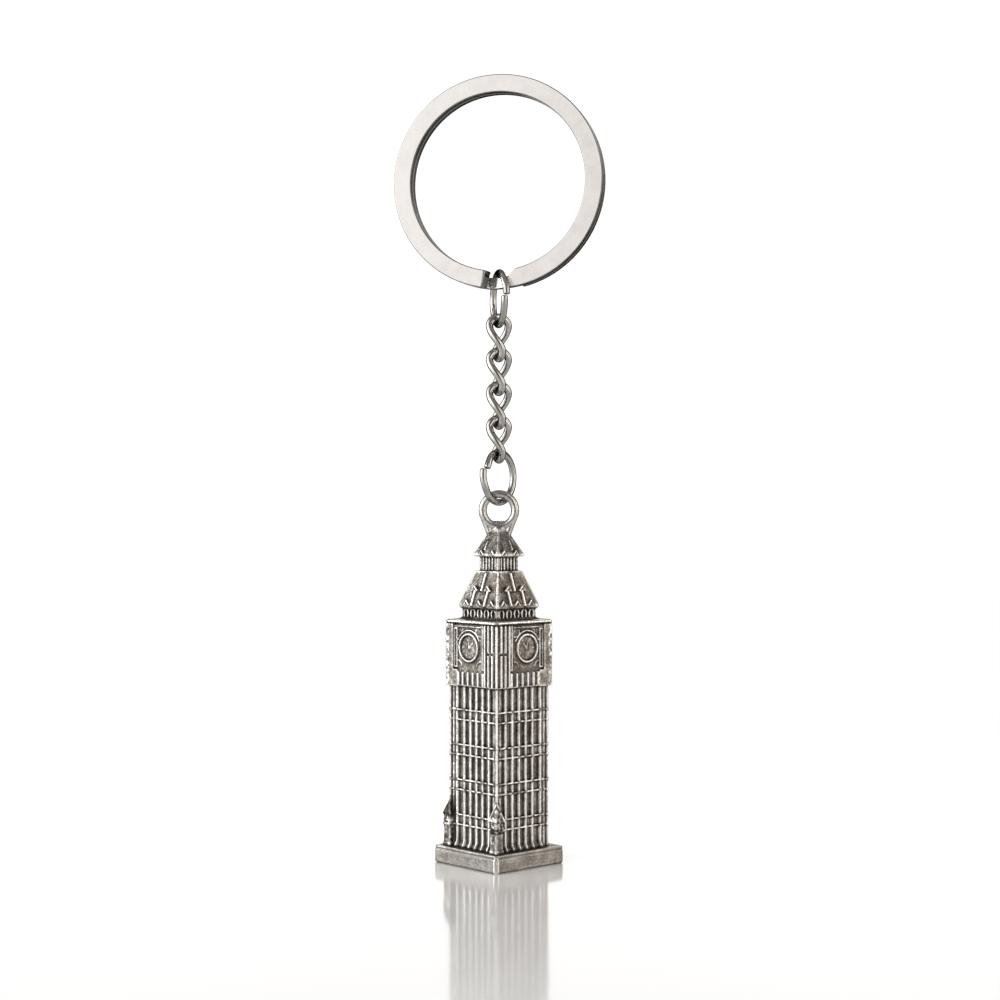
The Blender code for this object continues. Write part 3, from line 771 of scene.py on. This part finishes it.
def add_roofs(cast):
    """The main roof with its rafters and small gables, the lantern, and the spire."""
    lean = lean_of(ROOF_FOOT, ROOF_HEAD)
    cast.roof((3.84, 3.99, 3.98, 2.32), (ARCADE_TOP - 0.05, 35.95, 36.3, 40.85))
    cast.block(2.36, 40.7, 40.98, ease=0.1)
    for face in cast.frames:
        for along in (-2.72, -0.1, 2.5):
            cast.gable(face, along, 4.07, 36.22, 0.92, 0.66, rim=0.2)
        for along in (-1.42, 1.24):
            out = slope_at(36.2, ROOF_FOOT, ROOF_HEAD)
            cast.bar(face, along, 0.64, out - 0.2, out + 0.34, 36.1, 38.6, lean=lean)
            out = slope_at(38.35, ROOF_FOOT, ROOF_HEAD) + 0.34
            cast.gable(face, along, out + 0.04, 38.2, 1.02, 0.7, rim=0.21)
        out = slope_at(38.2, ROOF_FOOT, ROOF_HEAD)
        cast.bar(face, -0.08, 0.6, out - 0.2, out + 0.32, 38.2, 40.75, lean=lean)
    cast.corner_rods((3.88, 36.15), (2.26, 40.85), 0.13)
    cast.block(LANTERN_WALL, 40.6, 43.2)
    for face in cast.frames:
        for along, width in ((-0.62, 0.34), (0.62, 0.34), (0.0, 0.34), (-1.24, 0.32), (1.24, 0.32)):
            cast.bar(face, along, width, LANTERN_WALL, LANTERN_HALF, 40.8, 43.1)
    cast.corner_rods((1.72, 40.8), (1.72, 43.1), 0.25)
    lean = lean_of(SPIRE_FOOT, SPIRE_HEAD)
    cast.roof((2.36, 2.53, 2.52, 0.7), (42.95, 43.08, 43.3, 47.0))
    for face in cast.frames:
        for along in (-1.28, 0.95):
            cast.gable(face, along, 2.6, 43.22, 0.86, 0.58, deep=0.7, rim=0.19)
        out = slope_at(43.9, SPIRE_FOOT, SPIRE_HEAD)
        cast.bar(face, 0.42, 0.5, out - 0.2, out + 0.26, 43.9, 45.3, lean=lean)
    cast.corner_rods((2.44, 43.15), (1.7, 44.7), 0.13)


def add_eye(cast):
    """The cast loop: a ring, legs down from its sides to the spire, and a thin web between."""

    def at(u, z):
        return (u / math.sqrt(2), u / math.sqrt(2), EYE_Z + z)

    turns = [2 * math.pi * i / 48 for i in range(48)]
    ring = [at(EYE_R * math.cos(a), EYE_R * math.sin(a)) for a in turns]
    cast.rod(ring, EYE_WIRE, closed=True, sides=14)
    for side in (-1.0, 1.0):
        leg = ((2.27, -0.35), (2.03, -1.3), (1.3, -3.1), (0.95, -4.3))
        cast.rod([at(side * u, z) for u, z in leg], 0.5, sides=12)
    web = [at(u, z) for u, z in ((-1.75, -1.5), (1.75, -1.5), (0.9, -4.2), (-0.9, -4.2))]
    sides = [Vector((v, -v, 0.0)) / math.sqrt(2) for v in (-0.26, 0.26)]
    cast.solid([[Vector(p) + side for p in web] for side in sides])


def neighbours_mean(points, edges, count):
    """The mean place of each point's neighbours, of which it has count."""
    total = np.zeros_like(points)
    for k in range(3):
        total[:, k] = np.bincount(edges[:, 0], points[edges[:, 1], k], len(points))
        total[:, k] += np.bincount(edges[:, 1], points[edges[:, 0], k], len(points))
    return total / count[:, None]


def vertex_normals(mesh):
    values = np.zeros(len(mesh.vertices) * 3, np.float32)
    mesh.vertex_normals.foreach_get("vector", values)
    return values.reshape(-1, 3).astype(float)


VOXEL, QUICK_VOXEL = 0.085, 0.136
SMOOTH_PASSES = 2
# blurring passes after which hollows are measured, and the depth there that counts as one
HOLLOW_DEPTHS = {6: 0.05, 36: 0.16}
# height of the lumps on the base, on the walls and roofs, and on the eye, and of the broad swell
BASE_LUMPS, WALL_LUMPS, EYE_LUMPS, SWELL = 0.006, 0.028, 0.003, 0.012
EYE_FOOT = 46.6
# how much each blurring pass and each smoothing pass moves a point towards its neighbours
BLUR, SMOOTH = 0.6, 0.5
# How rubbed the metal is, from 0 to 1, on the whole and on the main roof; the level of the
# painted highlight at the base's front corner; how rubbed the eye is. And how polished the base is.
MEAN_WEAR, ROOF_WEAR, CORNER_HIGHLIGHT, EYE_WEAR, BASE_POLISH = 0.46, 0.44, 0.84, 0.66, 0.3
# heights between which painted shade lies (the base's line, the turret roof, the cornice's line)
# and the rubbing is special (the roof, the spire, the cornice)
BASE_LINE, TURRET_ROOF, ROOF, SPIRE = (1.86, 2.12), (6.8, 9.4), (36.3, 40.9), (43.6, 46.4)
CORNICE_LINE, CORNICE = (33.6, 33.84), (33.9, 34.35)


def tower_skin():
    """All the casting's solids as one skin, with its points and its edges."""
    cast = Casting()
    add_base(cast)
    add_shaft(cast)
    for x, y in TURRETS:
        add_turret(cast, x, y)
    add_clock_stage(cast)
    add_arcade(cast)
    add_roofs(cast)
    add_eye(cast)
    rough = bpy.data.meshes.new("tower_solids")
    cast.shape.to_mesh(rough)
    cast.shape.free()
    holder = bpy.data.objects.new("tower_solids", rough)
    bpy.context.scene.collection.objects.link(holder)
    skin = holder.modifiers.new("skin", "REMESH")
    skin.mode = "VOXEL"
    skin.voxel_size = VOXEL
    skin.use_smooth_shade = True
    graph = bpy.context.evaluated_depsgraph_get()
    mesh = bpy.data.meshes.new_from_object(holder.evaluated_get(graph))
    mesh.name = "tower_skin"
    bpy.data.objects.remove(holder)
    points = np.zeros(len(mesh.vertices) * 3)
    mesh.vertices.foreach_get("co", points)
    edges = np.zeros(len(mesh.edges) * 2, np.int32)
    mesh.edges.foreach_get("vertices", edges)
    return mesh, points.reshape(-1, 3), edges.reshape(-1, 2)


def hollows(points, normals, edges, count):
    """How hollow each point's surroundings are, at a fine and a broad scale together."""
    blurred = points.copy()
    hollow = np.zeros(len(points))
    for step in range(1, max(HOLLOW_DEPTHS) + 1):
        blurred += BLUR * (neighbours_mean(blurred, edges, count) - blurred)
        if step in HOLLOW_DEPTHS:
            hollow += ((blurred - points) * normals).sum(1) * (1.0 / HOLLOW_DEPTHS[step])
    return np.clip(hollow, -2.5, 2.5)


def between(values, low, high):
    return (values > low) & (values < high)


def wear_and_painted_light(points, worn_and_painted_light, lumps, in_base):
    """How rubbed each point is, with painted shade and a painted highlight added, and how polished,
    from 0 to 1, by what it is part of.
    """
    x, y, high = points.T
    size = np.abs(points[:, :2])
    reach = size.max(axis=1)
    on_x = size[:, 0] > size[:, 1]
    along = np.where(on_x, y, x) * np.sign(np.where(on_x, x, y))
    speckle = noise(points, 0.36, 23)

    # the base is dull and evenly brushed, with painted shade in a line along the groove under its
    # top and a painted highlight on its front corner
    brushed = noise(points * (0.08, 0.08, 1.0), 0.2, 17)
    worn_and_painted_light = np.where(in_base, np.clip(worn_and_painted_light, 0.4, 0.5) - 0.03 + 0.07 * brushed, worn_and_painted_light + 0.02)
    worn_and_painted_light -= 0.14 * (between(high, *BASE_LINE) & (reach > BASE_HALF - 0.5))
    corner = in_base & (x - y > 2 * BASE_HALF - 0.52)
    worn_and_painted_light = np.where(corner, CORNER_HIGHLIGHT + 0.1 * lumps, worn_and_painted_light)
    # painted shade darkens the left turret's roof
    worn_and_painted_light -= 0.2 * ((x < -3.9) & (y < -3.9) & between(high, *TURRET_ROOF))

    # whatever stands proud of the shaft's walls is rubbed across its whole width; the courses and
    # turrets are duller and speckled
    shaft = between(high, BASE_TOP + 0.1, SHAFT_TOP)
    worn_and_painted_light += shaft * 0.07 * smooth_step((reach - SHAFT_WALL - 0.16) / 0.16)
    course = shaft & (np.abs(high[:, None] - np.array(COURSES)).min(axis=1) < 0.24)
    worn_and_painted_light = np.where(course, worn_and_painted_light - 0.1 + 0.26 * speckle, worn_and_painted_light)
    turret = between(high, BASE_TOP + 0.1, TURRET_ROOF[1]) & (y < -3.9)
    turret &= (size.min(axis=1) > 3.9) & (reach > SHAFT_HALF + 0.1)
    worn_and_painted_light = np.where(turret, worn_and_painted_light - 0.13 + 0.24 * speckle, worn_and_painted_light)

    # the clock stage's ribs and stubs and the roof's rafters are rubbed across their width too
    stage = between(high, SHAFT_TOP, CORNICE_LINE[0])
    panel = stage & ((along < -2.1) | ((high < STUB_TOP + 0.1) & (along < 2.95)))
    worn_and_painted_light += panel * 0.17 * smooth_step((reach - CLOCK_WALL - 0.1) / 0.12)
    rafters = (np.abs(np.abs(along + 0.09) - 1.33) < 0.36) & (high < 38.35)
    rafters |= (np.abs(along + 0.08) < 0.34) & (high > 38.2)
    proud = rafters * smooth_step((reach - slope_at(high, ROOF_FOOT, ROOF_HEAD) - 0.1) / 0.12)
    roof = between(high, *ROOF)
    worn_and_painted_light = np.where(roof, ROOF_WEAR + (worn_and_painted_light - MEAN_WEAR) * 1.3 + 0.3 * proud, worn_and_painted_light)

    # the cornice has a rubbed top over a painted shadow line, and the clock stage's side corners
    # are speckled
    worn_and_painted_light -= 0.26 * (between(high, *CORNICE_LINE) & (reach > CLOCK_HALF - 0.25))
    worn_and_painted_light += 0.2 * (between(high, *CORNICE) & (reach > CLOCK_HALF - 0.4))
    sides = stage & (along > CLOCK_HALF - 0.7)
    worn_and_painted_light = np.where(sides, worn_and_painted_light + 0.08 + 0.3 * speckle, worn_and_painted_light)

    # the eye is rubbed bright by the jump ring; the spire's faces stay dull
    polish = smooth_step((high - EYE_FOOT + 0.4) / 0.8)
    worn_and_painted_light = worn_and_painted_light * (1.0 - polish) + EYE_WEAR * polish
    polish = np.where(in_base & ~corner, BASE_POLISH, polish)
    spire = between(high, *SPIRE)
    worn_and_painted_light = np.where(spire, worn_and_painted_light - 0.05 + 0.09 * noise(points, 0.7, 11), worn_and_painted_light)
    return worn_and_painted_light, polish


def tower_mesh():
    """The casting with its unevenness, its rubbing and its painted light, where the CAD tower is.
    """
    mesh, points, edges = tower_skin()
    count = np.bincount(edges.ravel(), minlength=len(points)).astype(float)
    for _ in range(SMOOTH_PASSES):
        points += SMOOTH * (neighbours_mean(points, edges, count) - points)
    mesh.vertices.foreach_set("co", points.ravel())
    mesh.update()
    normals = vertex_normals(mesh)
    hollow = hollows(points, normals, edges, count)
    lumps = 0.6 * noise(points, 0.42, 3) + 0.4 * noise(points, 0.2, 5)
    coarse = noise(points, 1.9, 7)
    in_base = points[:, 2] < BASE_TOP - 0.1
    height = np.where(in_base, BASE_LUMPS, WALL_LUMPS)
    height = np.where(points[:, 2] > EYE_FOOT, EYE_LUMPS, height)
    points += normals * (lumps * height + coarse * SWELL)[:, None]
    points[:, 2] = np.maximum(points[:, 2], 0.0)
    mesh.vertices.foreach_set("co", points.ravel())
    worn_and_painted_light = MEAN_WEAR - 0.24 * hollow + 0.05 * coarse + 0.09 * lumps
    worn_and_painted_light, polish = wear_and_painted_light(points, worn_and_painted_light, lumps, in_base)
    for name, values in (("worn_and_painted_light", worn_and_painted_light), ("polish", polish)):
        store = mesh.attributes.new(name, "FLOAT", "POINT")
        store.data.foreach_set("value", np.clip(values, 0.0, 1.0).astype(np.float32))
    place = Matrix.Translation((0.0, 0.0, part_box("tower_casting")[0].z))
    place = place @ Matrix.Rotation(math.radians(HEADINGS["tower"]), 4, "Z") @ Matrix.Scale(MM, 4)
    mesh.transform(place)
    mesh.polygons.foreach_set("use_smooth", [True] * len(mesh.polygons))
    mesh.update()
    return mesh


# ------------------------------------------ pieces

# the ring's nickel, made brighter than the wires' same metal: a painted highlight
nickel_painted_bright = nickel(
    "polished_nickel",
    bright=(0.93, 0.915, 0.90),
    dull=(0.87, 0.85, 0.835),
    rough=(0.12, 0.2),
    lay=(0.4, 5.0, 0.4),
    edge=0.12,
    relief=1.0,
)
# the wires' nickel, made darker than the ring's same metal: painted shade
nickel_painted_dark = nickel(
    "nickel_wire",
    bright=(0.53, 0.52, 0.505),
    dull=(0.32, 0.308, 0.292),
    rough=(0.03, 0.08),
    lay=(1.0, 1.0, 0.3),
    edge=0.0,
    relief=0.4,
)

ring_mesh = split_ring_mesh()
ring_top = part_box("split_ring")[1].z
ring_mesh.transform(Matrix.Translation((0.0, 0.0, ring_top - CAD_RING_R * MM)))
add_object(
    "split_ring_visual", ring_mesh, nickel_painted_bright, "split_ring", "split_ring"
)


def add_wire(node, path, heading, radius, closed):
    path = turned(path, HEADINGS[heading], middle(node).z)
    wire = tube(node + "_wire", path, radius, closed)
    add_object(node + "_visual", wire, nickel_painted_dark, node, node)


upper = jump_path(outer=4.17, cut=3.0, gap=7.5, above=(0.26, 0.04), below=(-0.04, 0.0))
lower = jump_path(outer=4.02, cut=160.0, gap=7.0, above=(0.2, 0.08), below=(-0.3, -0.04))
add_wire("upper_jump_ring", upper, "upper", JUMP_WIRE - PLAY, False)
add_wire("lower_jump_ring", lower, "lower", JUMP_WIRE - PLAY, False)
for number in range(1, 5):
    add_wire(f"chain_link_{number}", link_path(), "link", LINK_WIRE, True)

add_object(
    "tower_visual", tower_mesh(), antique_silver(), "tower", "tower_casting"
)


# ------------------------------------------- stage

FLOOR_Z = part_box("tower_casting")[0].z - 0.00002
FLOOR_HALF = 3.0
# The photograph's view: the camera's bearing and what is to its right and behind it.
VIEW_AZIMUTH = math.radians(13.0)
RIGHT = Vector((math.cos(VIEW_AZIMUTH), math.sin(VIEW_AZIMUTH), 0.0))
BACK = Vector((math.sin(VIEW_AZIMUTH), -math.cos(VIEW_AZIMUTH), 0.0))
# Metres behind the origin between which the floor goes unlit in reflections, and metres from the
# origin, which is 108 mm above the floor, between which it fades into the white background.
UNLIT, FADE = (0.08, 0.22), (0.12, 0.22)
FLOOR_WHITE, UNLIT_GREY = (0.95, 0.95, 0.95, 1.0), (0.1, 0.097, 0.093, 1.0)
FLOOR_ROUGH, FLOOR_IOR = 0.1, 1.45


def studio_floor():
    half = FLOOR_HALF
    corners = [(x * half, y * half, FLOOR_Z) for x, y in ((-1, -1), (1, -1), (1, 1), (-1, 1))]
    mesh = mesh_from("floor", corners, [(0, 1, 2, 3)], smooth=False)
    made = Nodes(bpy.data.materials.new("white_gloss"))
    made.shader.inputs["Base Color"].default_value = FLOOR_WHITE
    made.shader.inputs["Roughness"].default_value = FLOOR_ROUGH
    made.shader.inputs["IOR"].default_value = FLOOR_IOR
    unlit = made.add("ShaderNodeBsdfDiffuse")
    unlit.inputs["Color"].default_value = UNLIT_GREY
    behind = made.remap(made.dot(-BACK), *UNLIT, 0.0, 1.0)
    share = made.maths("MULTIPLY", behind, made.ray("Is Glossy Ray"))
    floor = made.mix_shader(share, made.shader.outputs["BSDF"], unlit.outputs["BSDF"])
    distance = made.add("ShaderNodeVectorMath", operation="LENGTH")
    made.link(made.place, distance.inputs[0])
    fade = made.remap(distance.outputs["Value"], *FADE, 0.0, 1.0)
    share = made.maths("MULTIPLY", fade, made.ray("Is Camera Ray"))
    white = made.add("ShaderNodeEmission").outputs["Emission"]
    floor = made.mix_shader(share, floor, white)
    made.link(floor, made.tree.nodes["Material Output"].inputs["Surface"])
    mesh.materials.append(made.owner)
    floor = bpy.data.objects.new("floor", mesh)
    bpy.context.scene.collection.objects.link(floor)


# the lamp's width and height, in metres, and its power in watts
LAMP_WIDE, LAMP_HIGH, LAMP_WATTS = 1.2, 1.0, 0.6


def floor_light():
    """A wide soft lamp overhead that lights the floor and isn't seen in the metal."""
    lamp = bpy.data.lights.new("overhead", "AREA")
    lamp.shape = "DISK"
    lamp.size = LAMP_WIDE
    lamp.energy = LAMP_WATTS
    made = bpy.data.objects.new("overhead", lamp)
    made.location = (0.0, 0.0, LAMP_HIGH)
    made.visible_glossy = False
    made.visible_camera = False
    bpy.context.scene.collection.objects.link(made)


WHITE, PALE, WARM = (1.0, 1.0, 1.0), (1.0, 0.99, 0.97), (1.0, 0.93, 0.86)
# What the studio shows in each direction round the object, as (bearing, level, tint). The bearing
# is in degrees from the camera, positive to its right: soft lights on the left and on the right
# with dim gaps between, dark cards in front and on both rear quarters, and a white sheet behind.
SURROUND = (
    (-180.0, 1.9, WHITE),
    (-162.0, 1.9, WHITE),
    (-156.0, 0.1, (1.0, 0.97, 0.93)),
    (-106.0, 0.1, (1.0, 0.97, 0.93)),
    (-98.0, 3.9, PALE),
    (-78.0, 3.9, PALE),
    (-73.0, 0.7, PALE),
    (-65.0, 0.7, PALE),
    (-60.0, 3.4, PALE),
    (-48.0, 3.4, PALE),
    (-38.0, 1.15, (1.0, 0.985, 0.97)),
    (-28.0, 0.96, (1.0, 0.975, 0.95)),
    (-21.0, 0.81, (1.0, 0.965, 0.935)),
    (-13.0, 0.3, (1.0, 0.96, 0.93)),
    (-5.0, 0.12, (1.0, 0.96, 0.93)),
    (12.0, 0.12, (1.0, 0.96, 0.93)),
    (24.0, 0.4, (1.0, 0.95, 0.89)),
    (32.0, 2.2, WARM),
    (48.0, 2.2, WARM),
    (54.0, 0.5, WARM),
    (66.0, 0.5, WARM),
    (72.0, 2.4, (1.0, 0.92, 0.83)),
    (88.0, 2.4, (1.0, 0.92, 0.83)),
    (98.0, 0.16, (1.0, 0.95, 0.9)),
    (156.0, 0.16, (1.0, 0.97, 0.93)),
    (162.0, 1.9, WHITE),
    (180.0, 1.9, WHITE),
)
BRIGHTEST = 3.9
# the ceiling's level, and the heights (as the sine of the angle up) where it takes over
OVERHEAD, CEILING = 0.32, (0.5, 0.8)
BACKGROUND = 1.1


def studio_world():
    """A studio seen in reflections, and plain white where the camera looks past the object."""
    world = bpy.data.worlds.new("studio")
    made = Nodes(world, "Generated")
    bearing = made.maths("ARCTAN2", made.dot(RIGHT), made.dot(BACK))
    share = made.maths("ADD", made.maths("DIVIDE", bearing, 2 * math.pi), 0.5)
    stops = [
        (degrees / 360.0 + 0.5, tuple(level / BRIGHTEST * c for c in tint))
        for degrees, level, tint in SURROUND
    ]
    around = made.ramp(share, stops)
    height = made.add("ShaderNodeMapRange", interpolation_type="SMOOTHSTEP")
    height.inputs["From Min"].default_value, height.inputs["From Max"].default_value = CEILING
    made.link(made.dot((0.0, 0.0, 1.0)), height.inputs["Value"])
    ceiling = (OVERHEAD / BRIGHTEST,) * 3
    seen = made.tree.nodes["Background"]
    seen.inputs["Strength"].default_value = BRIGHTEST
    made.link(made.blend(height.outputs["Result"], around, ceiling), seen.inputs["Color"])
    plain = made.add("ShaderNodeBackground")
    plain.inputs["Color"].default_value = (1.0, 1.0, 1.0, 1.0)
    plain.inputs["Strength"].default_value = BACKGROUND
    both = seen.outputs["Background"], plain.outputs["Background"]
    chosen = made.mix_shader(made.ray("Is Camera Ray"), *both)
    made.link(chosen, made.tree.nodes["World Output"].inputs["Surface"])
    bpy.context.scene.world = world


# The camera looks level at the tower's eye. Lengths in metres, the lens and its sensor in mm.
AIM, AIM_RIGHT, CAMERA_AWAY = Vector((0.0, 0.0, -0.0571)), 0.00015, 0.270
LENS, SENSOR = 69.2, 36.0


def studio_camera():
    data = bpy.data.cameras.new("camera")
    data.lens = LENS
    data.sensor_width = SENSOR
    data.clip_start, data.clip_end = 0.01, 20.0
    camera = bpy.data.objects.new("camera", data)
    camera.location = AIM + RIGHT * AIM_RIGHT + BACK * CAMERA_AWAY
    camera.rotation_euler = (-BACK).to_track_quat("-Z", "Y").to_euler()
    bpy.context.scene.collection.objects.link(camera)
    bpy.context.scene.camera = camera


studio_floor()
floor_light()
studio_world()
studio_camera()
bpy.context.scene.view_settings.view_transform = "Standard"
